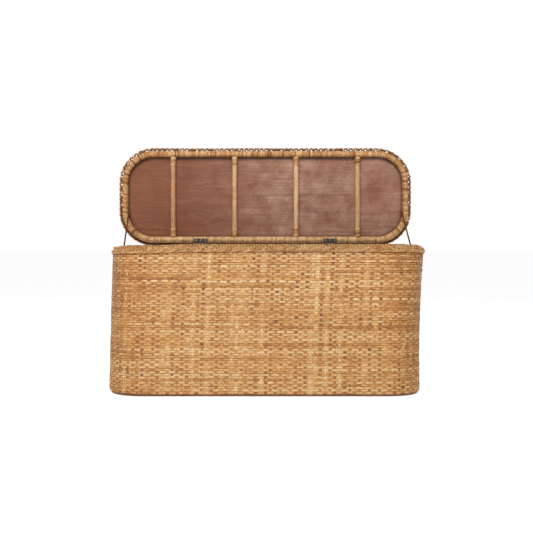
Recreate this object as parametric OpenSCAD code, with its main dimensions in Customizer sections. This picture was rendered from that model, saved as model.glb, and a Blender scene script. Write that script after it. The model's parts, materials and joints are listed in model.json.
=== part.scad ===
// A hand-woven rattan storage bench, in millimetres, shown with its lid held open by two cord stays.
// +Z is up, the front faces -Y, and the origin is the middle of the base board's underside.

/* [Body] */
// Width of the woven wall
body_w = 1106; // [900:1:1300]
// Depth of the woven wall
body_d = 363; // [340:1:500]
// Radius of the wall's four upright corners
corner_r = 128; // [110:1:150]
// Height of the rim above the ground
rim_h = 524; // [440:1:620]
// Thickness of the weave
wall_t = 8.5; // [6:0.5:8.5]

/* [Frame] */
// Thickness of the plywood base board
board_t = 9; // [6:1:15]
// How far the base board's edge is inside the wall's outer face
board_inset = 9.5; // [9:0.5:14]
// Diameter of the pole rails
rail_d = 22; // [18:1:22]
// How far the poles' centre line is inside the wall's outer face
rail_inset = 20; // [20:1:24]
// Diameter of the upright posts
post_d = 18; // [14:1:20]
// Diameter of the middle rail
middle_rail_d = 14; // [10:1:16]
// Height of the middle rail
middle_rail_z = 265; // [200:1:320]

/* [Rim] */
// Diameter of the rolled lip below the border
lip_d = 11; // [8:1:12]
// Thickness of the braided border over the top rail
border_t = 2.5; // [2:0.1:3]

/* [Lid] */
// Diameter of the lid's wrapped edge ring
lid_ring_d = 24; // [20:1:24]
// Thickness of the cane wrapped round the ring
wrap_t = 1.1; // [0.8:0.1:1.4]
// Thickness of the lid's plywood panel
panel_t = 6; // [4:1:9]
// Thickness of the lid's woven cover
cover_t = 7; // [5:1:8]
// How far the lace edge stands out beyond the ring
lace_w = 12.5; // [8:0.5:15]
// Diameter of the cross braces
brace_d = 19; // [16:1:20]
// Distance between neighbouring braces
brace_pitch = 234; // [200:1:240]

/* [Hinges and stays] */
// Distance of each hinge from the middle
hinge_x = 246; // [180:1:300]
// Length of a hinge leaf
leaf_l = 50; // [40:1:60]
// Width of a hinge leaf, from the pin's axis
leaf_w = 19; // [17:1:22]
// Diameter of the hinge pin
pin_d = 3; // [2.5:0.1:3]
// Diameter of the stay cords
stay_d = 5; // [3:0.5:5]
// Distance along the lid from the pin's axis to the stays' upper ends
stay_reach = 122; // [122:1:180]

/* [Hidden] */
$fn = 64;
HINGE_SIDES = ["left", "right"];
FRONT_POSTS = [for (i = [1:4]) str("post_front_", i)];
BACK_POSTS = [for (i = [1:4]) str("post_back_", i)];
BRACES = [for (i = [1:4]) str("lid_brace_", i)];
HINGE_PARTS = ["hinge_base_leaf_", "hinge_lid_leaf_", "hinge_pin_", "hinge_base_screws_",
               "hinge_lid_screws_", "stay_"];

EPS = 0.1;
COPE_GAP = 0.1;
// The braided border's section, as (outward, upward) from the top rail's centre.
BORDER_CAP = [[0, 0], [18, 6], [10, 20], [-9, 20], [-6.5, 10]];
BORDER_SLOPE = [[4, 12.9], [9, 10.4], [15, 5.2], [20, -1.2], [16.5, -4], [11, 1], [6, 5]];
WEAVE_COLOUR = "#C79463";
POLE_COLOUR = "#C19366";
PLYWOOD_COLOUR = "#8E5E45";
STEEL_COLOUR = "#54453E";
NAIL_COLOUR = "#9A9A98";
CORD_COLOUR = "#643C24";

// The poles' centre line on plan, which the base rails and the lid ring share in width.
path_x = body_w / 2 - rail_inset;
path_y = body_d / 2 - rail_inset;
path_r = corner_r - rail_inset;
rail_r = rail_d / 2;
bottom_rail_z = board_t + rail_r;
border_r = rail_r + border_t;
top_rail_z = rim_h - border_r;
lip_r = lip_d / 2;
lip_u = rail_inset - 0.5;
lip_v = -7;
wall_top = top_rail_z + lip_v - lip_r - EPS;
middle_in = (post_d + middle_rail_d) / 2 + 0.2;

// The posts stand where the straight sides end, and at a third of the front and back.
post_xs = [for (i = [-1.5:1:1.5]) i * (path_x - path_r) / 1.5];
binding_l = 25;
binding_t = 1.3;
binding_gap = 1;
board_screw_pitch = 150;
board_screw_head_r = 4;
board_screw_head_t = 2;
board_screw_r = 1.75;
board_screw_sink = 0.2;
board_screw_bite = 4;

// The lid, in the place it takes when shut.
lid_gap = 1.5;
lid_z = rim_h + lid_gap;
lid_r = lid_ring_d / 2;
lid_path_y = path_y + 1.5;
lid_ring_z = lid_z + lid_r;
splice_gap = 0.2;
panel_z = lid_z + lid_ring_d;
cover_z = panel_z + panel_t;
panel_margin = 6;
lace_t = 5;
lace_gap = 0.2;
cover_gap = 0.3;
brace_drop = 1.4;
brace_z = panel_z - brace_d / 2 - brace_drop;
brace_xs = [for (i = [-1.5:1:1.5]) i * brace_pitch];
brace_binding_l = 30;
brace_binding_t = 1.2;
nail_pitch = 66.5;
nail_head_r = 2.5;
nail_head_t = 0.8;
nail_r = 1;

// The hinges' axis is just behind the lid ring, midway between rim and lid.
leaf_t = 1.5;
leaf_gap = 0.15;
leaf_margin = 1;
seat_reach = 5;
knuckle_r = 2.6;
knuckle_gap = 0.3;
knuckle_n = 5;
knuckle_l = leaf_l / knuckle_n;
bore_r = pin_d / 2 + 0.05;
pin_head_t = 1;
hinge_y = lid_path_y + lid_r + 2.75;
hinge_z = rim_h + lid_gap / 2;
screw_back = 13;
screw_pitch = 17;
screw_head_r = 3.2;
screw_head_t = 1.3;
screw_r = 1.4;
screw_l = 11;
lid_open = 90;

// The stays run from the top rail, at the middle of the depth, to the lid ring.
stay_in = 13.7;
stay_x = path_x - stay_in;
foot_over_tack = 3.6;
head_under_tack = 3.5;
head_forward = 5;
stay_foot = [stay_x, 0, top_rail_z + foot_over_tack];
stay_head = [stay_x, hinge_y + lid_ring_z - hinge_z - head_forward,
             hinge_z + stay_reach - head_under_tack];
tack_r = 5;
tack_head_t = 1.2;
tack_shank_r = 1.25;
tack_l = 18;
tack_tilt = 20;
base_tack_gap = 1.5;
lid_tack_gap = 3.2;

// A rounded rectangle of the given half width, half depth and corner radius.
module outline(x, y, r) {
    square([2 * x, 2 * (y - r)], center = true);
    square([2 * (x - r), 2 * y], center = true);
    for (sx = [-1, 1], sy = [-1, 1])
        translate([sx * (x - r), sy * (y - r)]) circle(r = r);
}

module plate(x, y, r, z, t) {
    translate([0, 0, z]) linear_extrude(t) outline(x, y, r);
}

// Carries a 2D profile round a rounded rectangle. The profile's +X points outwards.
module ring(x, y, r) {
    for (side = [[0, x, y - r], [90, y, x - r], [180, x, y - r], [270, y, x - r]])
        rotate([0, 0, side[0]]) translate([side[1], 0, 0]) rotate([90, 0, 0])
            linear_extrude(2 * side[2], center = true) children();
    for (corner = [[0, 1, 1], [90, -1, 1], [180, -1, -1], [270, 1, -1]])
        translate([corner[1] * (x - r), corner[2] * (y - r), 0]) rotate([0, 0, corner[0]])
            rotate_extrude(angle = 90, $fn = 96) translate([r, 0]) children();
}

module pole_ring(x, y, r, z, pole_r) {
    translate([0, 0, z]) ring(x, y, r) circle(r = pole_r);
}

module both_sides() {
    children();
    mirror([1, 0, 0]) children();
}

// Turns what is drawn in its shut place to the open lid's place.
module lid_pose() {
    translate([0, hinge_y, hinge_z]) rotate([-lid_open, 0, 0])
        translate([0, -hinge_y, -hinge_z]) children();
}

module tube(r, hole_r, length) {
    difference() {
        cylinder(r = r, h = length, center = true);
        cylinder(r = hole_r, h = length + 2 * EPS, center = true);
    }
}

module along_x(x, y, z) {
    translate([x, y, z]) rotate([0, 90, 0]) children();
}

module along_y(x, y, z) {
    translate([x, y, z]) rotate([90, 0, 0]) children();
}

/* The base */

module base_board() {
    x = body_w / 2 - board_inset;
    y = body_d / 2 - board_inset;
    color(PLYWOOD_COLOUR) plate(x, y, corner_r - board_inset, 0, board_t);
}

module bottom_rail() {
    color(POLE_COLOUR) pole_ring(path_x, path_y, path_r, bottom_rail_z, rail_r);
}

module middle_rail() {
    color(POLE_COLOUR) pole_ring(path_x - middle_in, path_y - middle_in, path_r - middle_in,
                                 middle_rail_z, middle_rail_d / 2);
}

module top_rail() {
    color(POLE_COLOUR) pole_ring(path_x, path_y, path_r, top_rail_z, rail_r);
}

module woven_wall() {
    x = body_w / 2;
    y = body_d / 2;
    height = wall_top - board_t;
    color(WEAVE_COLOUR) difference() {
        plate(x, y, corner_r, board_t, height);
        plate(x - wall_t, y - wall_t, corner_r - wall_t, board_t - EPS, height + 2 * EPS);
    }
}

// The braid goes over the rail and slopes down to the rolled lip.
module border_profile() {
    difference() {
        union() {
            intersection() {
                circle(r = border_r);
                polygon(BORDER_CAP);
            }
            polygon(BORDER_SLOPE);
        }
        circle(r = rail_r + EPS);
        translate([lip_u, lip_v]) circle(r = lip_r + EPS);
    }
}

module rim_border() {
    color(WEAVE_COLOUR) difference() {
        translate([0, 0, top_rail_z]) ring(path_x, path_y, path_r) border_profile();
        both_sides() leaf_seat(hinge_z - leaf_gap - leaf_t, rim_h + seat_reach);
    }
}

module rim_lip() {
    color(WEAVE_COLOUR) translate([0, 0, top_rail_z + lip_v]) ring(path_x, path_y, path_r)
        translate([lip_u, 0]) circle(r = lip_r);
}

// One upright, coped over the rails, which run along X or, for an end post, along Y.
module post(x, y, rails_along_x) {
    height = top_rail_z - bottom_rail_z;
    color(POLE_COLOUR) difference() {
        translate([x, y, bottom_rail_z]) cylinder(d = post_d, h = height);
        for (z = [bottom_rail_z, top_rail_z])
            translate([x, y, z]) rotate([rails_along_x ? 0 : 90, rails_along_x ? 90 : 0, 0])
                cylinder(r = rail_r + COPE_GAP, h = 2 * rail_d, center = true);
    }
}

module post_bindings(z) {
    places = concat([for (x = post_xs, y = [-path_y, path_y]) [x, y]],
                    [[-path_x, 0], [path_x, 0]]);
    color(WEAVE_COLOUR) for (p = places)
        translate([p[0], p[1], z]) tube(post_d / 2 + binding_t, post_d / 2 + EPS, binding_l);
}

module post_bindings_bottom() {
    post_bindings(bottom_rail_z + rail_r + binding_l / 2 + binding_gap);
}

module post_bindings_top() {
    post_bindings(top_rail_z - rail_r - binding_l / 2 - binding_gap);
}

module board_screw(x, y) {
    translate([x, y, board_screw_sink]) cylinder(r = board_screw_head_r, h = board_screw_head_t);
    translate([x, y, board_screw_head_t])
        cylinder(r = board_screw_r, h = bottom_rail_z + board_screw_bite);
}

module board_screws() {
    color(NAIL_COLOUR) {
        for (i = [-2.5:2.5], y = [-path_y, path_y]) board_screw(i * board_screw_pitch, y);
        for (x = [-path_x, path_x]) board_screw(x, 0);
    }
}

/* The lid */

// Two straight poles and two bent ends, spliced where the corners start.
module lid_ring() {
    color(POLE_COLOUR) lid_pose() difference() {
        pole_ring(path_x, lid_path_y, path_r, lid_ring_z, lid_r - wrap_t - EPS);
        both_sides() translate([path_x - path_r, 0, lid_ring_z])
            cube([splice_gap, 2 * (lid_path_y + lid_r), lid_ring_d], center = true);
    }
}

module lid_ring_wrap() {
    color(WEAVE_COLOUR) lid_pose() difference() {
        translate([0, 0, lid_ring_z]) ring(path_x, lid_path_y, path_r) difference() {
            circle(r = lid_r);
            circle(r = lid_r - wrap_t);
        }
        both_sides() leaf_seat(rim_h - seat_reach, hinge_z + leaf_gap + leaf_t);
    }
}

module lid_panel() {
    color(PLYWOOD_COLOUR) lid_pose()
        plate(path_x + panel_margin, lid_path_y + panel_margin, path_r + panel_margin,
              panel_z, panel_t);
}

// The cover lies on the panel and turns down round its edge.
module lid_cover() {
    inner = panel_margin + cover_gap;
    color(WEAVE_COLOUR) lid_pose() difference() {
        plate(path_x + lid_r, lid_path_y + lid_r, path_r + lid_r, panel_z, panel_t + cover_t);
        plate(path_x + inner, lid_path_y + inner, path_r + inner, panel_z - EPS, panel_t + EPS);
    }
}

module lid_lace() {
    inner = lid_r + lace_gap;
    outer = lid_r + lace_w;
    color(WEAVE_COLOUR) lid_pose() difference() {
        plate(path_x + outer, lid_path_y + outer, path_r + outer, panel_z, lace_t);
        plate(path_x + inner, lid_path_y + inner, path_r + inner, panel_z - EPS, lace_t + 2 * EPS);
    }
}

module lid_brace(x) {
    color(POLE_COLOUR) lid_pose() difference() {
        along_y(x, 0, brace_z) cylinder(d = brace_d, h = 2 * lid_path_y, center = true);
        for (y = [-lid_path_y, lid_path_y])
            along_x(x, y, lid_ring_z) cylinder(r = lid_r + COPE_GAP, h = 2 * brace_d, center = true);
    }
}

module brace_bindings(side) {
    y = side * (lid_path_y - lid_r - binding_gap - brace_binding_l / 2);
    color(WEAVE_COLOUR) lid_pose() for (x = brace_xs)
        along_y(x, y, brace_z)
            tube(brace_d / 2 + brace_binding_t, brace_d / 2 + EPS, brace_binding_l);
}

module brace_bindings_front() {
    brace_bindings(-1);
}

module brace_bindings_back() {
    brace_bindings(1);
}

module panel_nails() {
    head_z = cover_z - nail_head_t - EPS;
    color(NAIL_COLOUR) lid_pose() for (x = brace_xs, i = [-1.5:1.5])
        translate([x, i * nail_pitch, 0]) {
            translate([0, 0, head_z]) cylinder(r = nail_head_r, h = nail_head_t);
            translate([0, 0, brace_z]) cylinder(r = nail_r, h = head_z + nail_head_t / 2 - brace_z);
        }
}

/* The hinges */

// The room for a leaf between two heights, a little wider all round than the leaf.
module leaf_seat(low, high) {
    translate([hinge_x - leaf_l / 2 - leaf_margin, hinge_y - leaf_w - leaf_margin, low])
        cube([leaf_l + 2 * leaf_margin, leaf_w + seat_reach, high - low]);
}

function knuckle_x(i) = (i - (knuckle_n - 1) / 2) * knuckle_l;

// up is -1 for the leaf on the rim and 1 for the leaf on the lid.
module hinge_leaf(x, up) {
    first = up < 0 ? 0 : 1;
    low = up < 0 ? hinge_z - leaf_gap - leaf_t : hinge_z + leaf_gap;
    color(STEEL_COLOUR) difference() {
        union() {
            translate([x - leaf_l / 2, hinge_y - leaf_w, low]) cube([leaf_l, leaf_w, leaf_t]);
            for (i = [first:2:knuckle_n - 1])
                along_x(x + knuckle_x(i), hinge_y, hinge_z)
                    cylinder(r = knuckle_r, h = knuckle_l, center = true);
        }
        along_x(x, hinge_y, hinge_z) cylinder(r = bore_r, h = leaf_l + 2, center = true);
        for (i = [1 - first:2:knuckle_n - 1])
            along_x(x + knuckle_x(i), hinge_y, hinge_z)
                cylinder(r = knuckle_r + knuckle_gap, h = knuckle_l + 4 * EPS, center = true);
        for (i = [-1:1])
            translate([x + i * screw_pitch, hinge_y - screw_back, low - 1])
                cylinder(r = screw_head_r + EPS, h = leaf_t + 2);
    }
}

module hinge_pin(x) {
    color(STEEL_COLOUR) {
        along_x(x, hinge_y, hinge_z)
            cylinder(d = pin_d, h = leaf_l + pin_head_t, center = true);
        for (s = [-1, 1])
            along_x(x + s * (leaf_l / 2 + pin_head_t / 2 + 2 * EPS), hinge_y, hinge_z)
                cylinder(r = knuckle_r - knuckle_gap, h = pin_head_t, center = true);
    }
}

module hinge_screws(x, up) {
    color(NAIL_COLOUR) for (i = [-1:1])
        translate([x + i * screw_pitch, hinge_y - screw_back, hinge_z]) mirror([0, 0, up < 0 ? 1 : 0]) {
            translate([0, 0, leaf_gap + EPS]) {
                cylinder(r = screw_head_r, h = screw_head_t);
                cylinder(r = screw_r, h = screw_l);
            }
        }
}

module hinge_base_leaf(x) {
    hinge_leaf(x, -1);
}

module hinge_lid_leaf(x) {
    lid_pose() hinge_leaf(x, 1);
}

module hinge_base_screws(x) {
    hinge_screws(x, -1);
}

module hinge_lid_screws(x) {
    lid_pose() hinge_screws(x, 1);
}

/* The stays */

module stay(side) {
    run = stay_head - stay_foot;
    length = norm(run);
    color(CORD_COLOUR) mirror([side < 0 ? 1 : 0, 0, 0]) translate(stay_foot)
        rotate([0, acos(run[2] / length), atan2(run[1], run[0])])
            cylinder(d = stay_d, h = length);
}

// A nail driven along +X, with the head's face at the origin.
module tack() {
    rotate([0, 90, 0]) {
        cylinder(r = tack_r, h = tack_head_t);
        cylinder(r = tack_shank_r, h = tack_l);
    }
}

module stay_tacks_base() {
    color(STEEL_COLOUR) both_sides()
        translate([stay_x - stay_d / 2 - base_tack_gap, 0, top_rail_z]) tack();
}

module stay_tacks_lid() {
    reach = stay_in + stay_d / 2 + lid_tack_gap;
    color(STEEL_COLOUR) lid_pose() both_sides()
        translate([path_x, hinge_y - stay_reach, lid_ring_z]) rotate([0, -tack_tilt, 0])
            translate([-reach, 0, 0]) tack();
}

base_board();
bottom_rail();
middle_rail();
top_rail();
woven_wall();
rim_border();
rim_lip();
post(-path_x, 0, false);  // post_left
post(path_x, 0, false);  // post_right
post_bindings_bottom();
post_bindings_top();
board_screws();
lid_ring();
lid_ring_wrap();
lid_panel();
lid_cover();
lid_lace();
brace_bindings_front();
brace_bindings_back();
panel_nails();
stay_tacks_base();
stay_tacks_lid();
for (i = [0:3]) {
    post(post_xs[i], -path_y, true);
    post(post_xs[i], path_y, true);
    lid_brace(brace_xs[i]);
}
for (i = [0:1]) {
    name = HINGE_SIDES[i];
    side = 2 * i - 1;
    x = side * hinge_x;
    hinge_base_leaf(x);
    hinge_lid_leaf(x);
    hinge_pin(x);
    hinge_base_screws(x);
    hinge_lid_screws(x);
    stay(side);
}
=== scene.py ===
"""A hand-woven rattan storage bench with its lid open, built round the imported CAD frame."""
import json
import math

import bpy
import numpy as np
from mathutils import Matrix, Vector


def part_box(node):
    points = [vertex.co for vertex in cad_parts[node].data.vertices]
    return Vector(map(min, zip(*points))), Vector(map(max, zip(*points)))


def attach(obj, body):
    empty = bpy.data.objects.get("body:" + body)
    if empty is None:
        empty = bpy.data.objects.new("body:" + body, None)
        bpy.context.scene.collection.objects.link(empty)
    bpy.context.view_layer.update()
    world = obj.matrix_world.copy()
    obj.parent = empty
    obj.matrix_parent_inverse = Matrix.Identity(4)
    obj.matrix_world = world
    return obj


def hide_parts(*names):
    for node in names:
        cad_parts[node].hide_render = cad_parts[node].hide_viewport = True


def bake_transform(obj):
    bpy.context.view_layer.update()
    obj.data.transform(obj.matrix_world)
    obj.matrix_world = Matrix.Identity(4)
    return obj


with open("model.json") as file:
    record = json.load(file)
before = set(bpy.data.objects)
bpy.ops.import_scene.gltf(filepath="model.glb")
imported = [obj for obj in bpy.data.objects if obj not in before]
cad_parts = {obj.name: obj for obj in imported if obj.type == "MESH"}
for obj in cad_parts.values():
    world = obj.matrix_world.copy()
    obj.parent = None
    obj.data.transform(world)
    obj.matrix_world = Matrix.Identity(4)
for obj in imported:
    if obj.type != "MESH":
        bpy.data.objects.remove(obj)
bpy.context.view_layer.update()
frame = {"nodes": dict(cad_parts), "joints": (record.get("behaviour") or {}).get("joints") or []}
rng = np.random.default_rng(7)

MM = 0.001


# ---------------- places taken from the frame

HINGE = Vector(frame["joints"][0]["pos_m"])
# Everything on the lid is built shut, and this turns it to the open rest pose.
QUARTER_BACK = Matrix.Rotation(math.radians(-90), 4, "X")
OPENING = Matrix.Translation(HINGE) @ QUARTER_BACK @ Matrix.Translation(-HINGE)
SHUTTING = OPENING.inverted()


def shut_box(node):
    """A lid node's lowest and highest corner with the lid shut."""
    low, high = (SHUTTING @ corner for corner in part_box(node))
    return (Vector(map(min, low, high)), Vector(map(max, low, high)))


def box_of(node, body):
    """A node's lowest and highest corner with the lid shut, for a node on either body."""
    return shut_box(node) if body == "lid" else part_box(node)


wall_low, wall_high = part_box("woven_wall")
board_low, board_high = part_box("base_board")
rail_low, rail_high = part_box("top_rail")
lip_low, lip_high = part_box("rim_lip")
ring_low, ring_high = shut_box("lid_ring_wrap")
cover_low, cover_high = shut_box("lid_cover")
lace_low, lace_high = shut_box("lid_lace")
panel_low, panel_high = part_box("lid_panel")

RAIL_R = (rail_high.z - rail_low.z) / 2
RAIL_Z = (rail_high.z + rail_low.z) / 2
PATH_X = rail_high.x - RAIL_R
PATH_Y = rail_high.y - RAIL_R
# The wall's corner radius and thickness, as in the CAD source.
WALL_R = 128 * MM
WALL_T = 8.5 * MM
PATH_R = WALL_R - (wall_high.x - PATH_X)
# A path is a rounded rectangle: how far it reaches along x and y, and its corner radius.
RIM_PATH = (PATH_X, PATH_Y, PATH_R)
RING_R = (ring_high.z - ring_low.z) / 2
RING_Z = (ring_high.z + ring_low.z) / 2
LID_PATH = (ring_high.x - RING_R, ring_high.y - RING_R, PATH_R)
SIDES = ("left", "right")
# The wall's upright stakes, and the rows of strips woven through them.
STAKES = 158
ROWS = 56
ROWS_PER_BAND = 4
# How much longer a strip runs in front of the stakes than behind them, and how much deeper it goes there.
FORWARD = 0.64
DEEPER_BEHIND = 1.6
# How far the wall's foot stands to the left of its rim, and the wall's waist and turned-in foot.
LEAN = 13.5 * MM
WAIST = 2.5 * MM
FOOT_IN = 3 * MM
FOOT_H = 14 * MM
ROW_DRIFT = 2.4 * MM
# How far the rim droops at the left, where that begins, and over how much it comes in.
RIM_SAG = 4.5 * MM
SAG_FROM = -0.28
SAG_BLEND = 0.14
# How wide the rim's sloping shoulders are, and how far they drop.
SHOULDER = 42 * MM
SHOULDER_DROP = 3.5 * MM
LIP_R = 3.6 * MM
SHADOW_STRIP_PITCH = 15 * MM
# The share of the dark strips under the rim that show; they are painted shadow beneath the lip.
SHADOW_STRIPS_SHOWN = 0.7
# How much darker the strips are painted round the curved ends of the wall, as painted shade where less light
# falls, as a share of the whole range of tones, how far from the middle that begins, and over how much it
# comes in.
END_SHADE = 0.22
END_SHADE_FROM = 0.38
END_SHADE_BLEND = 0.14
# The shares of a stake that are dark patches, and of the stakes that are light.
DARK_PATCHES = 0.022
LIGHT_STAKES = 0.2
LACE_PITCH = 19 * MM
# The share of the lace's holes that are filled with dark strips as painted shade, along the front edge, round
# the ends, and at the hinges.
LACE_SHADE_FILL = 0.3
LACE_SHADE_FILL_ENDS = 0.5
LACE_SHADE_FILL_BACK = 1.0
# The turns of cane round the lid's ring, the share of turns that are dark, and the depth of the
# grooves between turns.
RING_TURNS = 524
DARK_TURNS = 0.04
WRAP_GROOVE = 0.55 * MM
# The rows of strips in the lid's cover, built in some bands, and how far the middles of its stakes
# lie inside its box, which sets its reach, level and corners.
COVER_ROWS = 39
COVER_BANDS = 3
COVER_INSET = 3.5 * MM
COVER_X = cover_high.x - COVER_INSET
COVER_Y = cover_high.y - COVER_INSET
COVER_Z = cover_high.z - COVER_INSET
COVER_R = PATH_R + RING_R - COVER_INSET
# How light each of the lid's braces is, from the left.
BRACE_TONES = (0.2, 0.55, 0.72, 0.35)
EDGE_BEND = 6 * MM
# The rim's section, as (outward, upward) millimetres from the top rail's centre.
BORDER_SECTION = [(-8.5, 8.4), (-4.5, 11.1), (0, 12.0), (4.2, 11.0), (8.4, 8.6), (12.2, 5.6),
                  (16, 2.2), (19.3, -1.4), (21, -4.6), (21.2, -7.8)]
# The screws' sections, as (radius, height) in millimetres from the face that the head lies on.
SCREW_PROFILE = [(1.3, -5), (1.3, -0.2), (3.1, 0), (3.2, 0.5), (2.9, 0.95), (2.5, 1.2), (2.0, 1.35),
                 (1.5, 1.45), (1.0, 1.5), (0.6, 1.52), (0.2, 1.53)]
BOARD_SCREW_PROFILE = [(1.7, -22), (1.7, -0.2), (3.8, 0), (4.0, 0.4), (3.6, 0.9), (2.8, 1.3), (2.1, 1.5),
                       (1.5, 1.6), (1.0, 1.65), (0.6, 1.7), (0.2, 1.72)]
# The right stay's ends, as in the CAD source, in metres.
STAY_FOOT = Vector((0.5193, 0.0, 0.5141))
STAY_HEAD = Vector((0.5193, 0.1855, 0.64325))


# ---------------- camera and light

CAMERA_X = -0.15
CAMERA_AWAY = 3.43
CAMERA_Z = 0.553


def new_object(name, data):
    thing = bpy.data.objects.new(name, data)
    bpy.context.scene.collection.objects.link(thing)
    return thing


def add_camera():
    data = bpy.data.cameras.new("camera")
    data.sensor_width = 36
    data.lens = 67.4
    data.shift_x = 0.076
    data.shift_y = -0.057
    data.clip_end = 50
    camera = new_object("camera", data)
    camera.location = (CAMERA_X, wall_low.y - CAMERA_AWAY, CAMERA_Z)
    camera.rotation_euler = (math.radians(90), 0, 0)
    bpy.context.scene.camera = camera


def add_area(name, place, target, size, power):
    data = bpy.data.lights.new(name, "AREA")
    data.shape = "RECTANGLE"
    data.size, data.size_y = size
    data.energy = power
    light = new_object(name, data)
    light.location = place
    light.rotation_euler = (Vector(target) - Vector(place)).to_track_quat("-Z", "Y").to_euler()


def add_world(behind, in_front):
    """A white studio: brightest behind the bench and along the horizon, and dimmer in front."""
    world = bpy.data.worlds.new("studio")
    n = Nodes(world, "Background")
    _, y, z = n.split(n.add("ShaderNodeTexCoord").outputs["Generated"])
    room = n.remap(y, -0.1, 0.7, in_front, behind)
    horizon = n.remap(z, 0.02, 0.14, behind, 0.0)
    n.put("Strength", n.math("MAXIMUM", room, horizon))
    n.put("Color", WHITE)
    bpy.context.scene.world = world
    bpy.context.scene.view_settings.view_transform = "Standard"


# ---------------- materials

WHITE = (1, 1, 1)


class Nodes:
    """A material's or a world's nodes, with short ways to add more and link them to its shader."""

    def __init__(self, owner, shader="Principled BSDF"):
        owner.use_nodes = True
        self.tree = owner.node_tree
        self.shader = self.tree.nodes[shader]
        self.link = self.tree.links.new

    def add(self, kind, **settings):
        node = self.tree.nodes.new(kind)
        for key, value in settings.items():
            setattr(node, key, value)
        return node

    def feed(self, socket, value):
        """Sets a socket to a number or a colour, or links an output to it."""
        if isinstance(value, (int, float)):
            socket.default_value = value
        elif isinstance(value, tuple):
            socket.default_value = (*value, 1)
        else:
            self.link(value, socket)

    def math(self, operation, *values):
        node = self.add("ShaderNodeMath", operation=operation)
        for i, value in enumerate(values):
            self.feed(node.inputs[i], value)
        return node.outputs[0]

    def times(self, a, b):
        return self.math("MULTIPLY", a, b)

    def plus(self, a, b):
        return self.math("ADD", a, b)

    def minus(self, a, b):
        return self.math("SUBTRACT", a, b)

    def split(self, vector):
        parts = self.add("ShaderNodeSeparateXYZ")
        self.link(vector, parts.inputs[0])
        return parts.outputs

    def waves(self, parts, counts):
        """Each part of a vector times its own number of waves of noise."""
        return tuple(self.times(part, count) for part, count in zip(parts, counts))

    def noise(self, place, detail=3.0, roughness=0.55, scale=1.0):
        """Noise at a vector, or at a place given as three values."""
        node = self.add("ShaderNodeTexNoise")
        self.feed(node.inputs["Scale"], scale)
        self.feed(node.inputs["Detail"], detail)
        self.feed(node.inputs["Roughness"], roughness)
        if isinstance(place, tuple):
            joined = self.add("ShaderNodeCombineXYZ")
            for i, value in enumerate(place):
                self.feed(joined.inputs[i], value)
            place = joined.outputs[0]
        self.link(place, node.inputs["Vector"])
        return node.outputs["Fac"]

    def ramp(self, factor, *stops):
        node = self.add("ShaderNodeValToRGB")
        elements = node.color_ramp.elements
        while len(elements) < len(stops):
            elements.new(0.5)
        for element, (position, colour) in zip(elements, stops):
            element.position = position
            element.color = (*colour, 1)
        self.link(factor, node.inputs["Fac"])
        return node.outputs["Color"]

    def mix(self, factor, a, b, blend="MIX"):
        node = self.add("ShaderNodeMix", data_type="RGBA", blend_type=blend)
        for key, value in (("Factor", factor), ("A", a), ("B", b)):
            self.feed(node.inputs[key], value)
        return node.outputs["Result"]

    def tint(self, base, colour, amount=1.0):
        """The base multiplied by a colour, all over or by some amount."""
        return self.mix(amount, base, colour, "MULTIPLY")

    def remap(self, value, low, high, new_low, new_high):
        """A value moved from one range to another, and kept inside it."""
        node = self.add("ShaderNodeMapRange")
        self.link(value, node.inputs["Value"])
        ends = (("From Min", low), ("From Max", high), ("To Min", new_low), ("To Max", new_high))
        for key, number in ends:
            self.feed(node.inputs[key], number)
        return node.outputs["Result"]

    def bump(self, height, strength, distance):
        node = self.add("ShaderNodeBump")
        self.feed(node.inputs["Strength"], strength)
        self.feed(node.inputs["Distance"], distance)
        self.link(height, node.inputs["Height"])
        self.link(node.outputs["Normal"], self.shader.inputs["Normal"])

    def put(self, name, value):
        self.feed(self.shader.inputs[name], value)


def new_material(name):
    material = bpy.data.materials.new(name)
    return material, Nodes(material)


def srgb(r, g, b):
    """A colour given as 0 to 255 values on screen, as linear light."""
    return tuple((c / 255 / 12.92) if c <= 10 else ((c / 255 + 0.055) / 1.055) ** 2.4 for c in (r, g, b))


WEAVE_STOPS = ((0.0, srgb(142, 90, 40)), (0.2, srgb(178, 125, 64)), (0.45, srgb(195, 151, 94)),
               (0.7, srgb(204, 166, 116)), (1.0, srgb(216, 189, 147)))
STAKE_STOPS = ((0.0, srgb(104, 60, 32)), (0.2, srgb(150, 88, 36)), (0.7, srgb(187, 131, 66)),
               (1.0, srgb(218, 184, 132)))
WRAP_STOPS = ((0.0, srgb(118, 62, 30)), (0.14, srgb(157, 102, 52)), (0.5, srgb(183, 140, 88)),
              (0.86, srgb(199, 161, 111)), (1.0, srgb(212, 177, 130)))
POLE_STOPS = ((0.0, srgb(166, 114, 74)), (0.5, srgb(194, 150, 107)), (1.0, srgb(212, 174, 134)))
CORD_STOPS = ((0.0, srgb(76, 36, 18)), (0.5, srgb(100, 55, 33)), (1.0, srgb(114, 69, 44)))

# How many waves of noise there are along and across a strand, for its fibres, stains and flecks.
FIBRES = (28, 16)
STAINS = (16, 1.5)
FLECKS = (300, 2.2)
CASTS_ALONG = 26
# How many there are per metre along x, y and z, for the bends and swirls of grain, and for scratched steel.
BENDS = (1.6, 6, 6)
SWIRLS = (8, 12, 12)
SCRATCHES = (90, 900, 900)


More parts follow.
